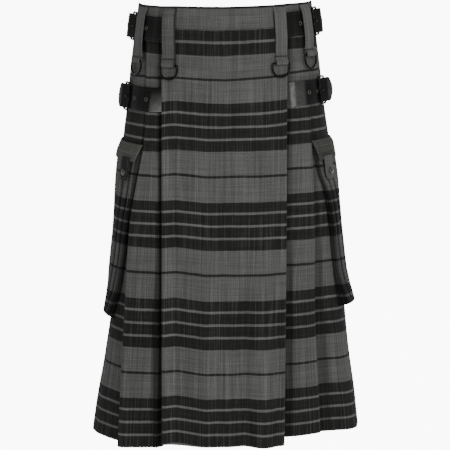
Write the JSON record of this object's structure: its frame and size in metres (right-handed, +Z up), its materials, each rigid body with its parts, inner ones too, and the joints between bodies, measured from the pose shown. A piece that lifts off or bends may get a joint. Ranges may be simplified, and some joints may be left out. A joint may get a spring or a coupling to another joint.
{
  "type": "scottish kilt",
  "caption": "Utility kilt in tartan cloth with a front apron, back pleats, leather side straps with buckles, belt loops with D-rings and side cargo pockets",
  "frame": {"origin": "centre of the waist, level with the top edge of the waistband at the front centre", "axes": "+Z up the garment, -Y towards the front apron, +X to the viewer's right"},
  "size_m": [0.384, 0.3142, 0.6207],
  "materials": {
    "tartan_cloth": "woven twill, grey and black",
    "black_leather": "smooth, satin",
    "dark_nickel": "dark nickel plate"
  },
  "bodies": {
    "kilt": {"waistband_front": "tartan_cloth", "waistband": "tartan_cloth", "apron": "tartan_cloth", "under_apron": "tartan_cloth", "pleat_panel_left": "tartan_cloth", "pleat_panel_right": "tartan_cloth", "side_panel_left": "tartan_cloth", "side_panel_right": "tartan_cloth", "back_panel": "tartan_cloth", "belt_loop_side_left": "tartan_cloth", "belt_loop_front_left": "tartan_cloth", "belt_loop_front_right": "tartan_cloth", "belt_loop_side_right": "tartan_cloth", "belt_loop_back": "tartan_cloth", "strap_upper_left": "black_leather", "strap_upper_right": "black_leather", "strap_lower_left": "black_leather", "strap_lower_right": "black_leather", "chape_upper_left": "black_leather", "chape_upper_right": "black_leather", "chape_lower_left": "black_leather", "chape_lower_right": "black_leather", "buckle_frame_upper_left": "dark_nickel", "buckle_frame_upper_right": "dark_nickel", "buckle_frame_lower_left": "dark_nickel", "buckle_frame_lower_right": "dark_nickel", "buckle_pin_upper_left": "dark_nickel", "buckle_pin_upper_right": "dark_nickel", "buckle_pin_lower_left": "dark_nickel", "buckle_pin_lower_right": "dark_nickel", "pocket_left": "tartan_cloth", "pocket_right": "tartan_cloth", "pocket_flap_left": "tartan_cloth", "pocket_flap_right": "tartan_cloth", "pocket_tab_left": "tartan_cloth", "pocket_tab_right": "tartan_cloth", "pocket_snap_left": "dark_nickel", "pocket_snap_right": "dark_nickel"},
    "ring_side_left": {"d_ring_side_left": "dark_nickel"},
    "ring_front_left": {"d_ring_front_left": "dark_nickel"},
    "ring_front_right": {"d_ring_front_right": "dark_nickel"},
    "ring_side_right": {"d_ring_side_right": "dark_nickel"}
  },
  "joints": [
    {"name": "ring_side_left_hinge", "type": "hinge", "parent": "kilt", "child": "ring_side_left", "pos_m": [-0.12346, -0.04231, -0.07883], "axis": [-0.5084, 0.8611, 0], "range_deg": [0, 150]},
    {"name": "ring_front_left_hinge", "type": "hinge", "parent": "kilt", "child": "ring_front_left", "pos_m": [-0.07743, -0.08814, -0.08089], "axis": [-0.8712, 0.491, 0], "range_deg": [0, 150]},
    {"name": "ring_front_right_hinge", "type": "hinge", "parent": "kilt", "child": "ring_front_right", "pos_m": [0.0771, -0.08824, -0.07752], "axis": [-0.8787, -0.4774, 0], "range_deg": [0, 150]},
    {"name": "ring_side_right_hinge", "type": "hinge", "parent": "kilt", "child": "ring_side_right", "pos_m": [0.11895, -0.0487, -0.06905], "axis": [-0.576, -0.8175, 0], "range_deg": [0, 150]}
  ]
}
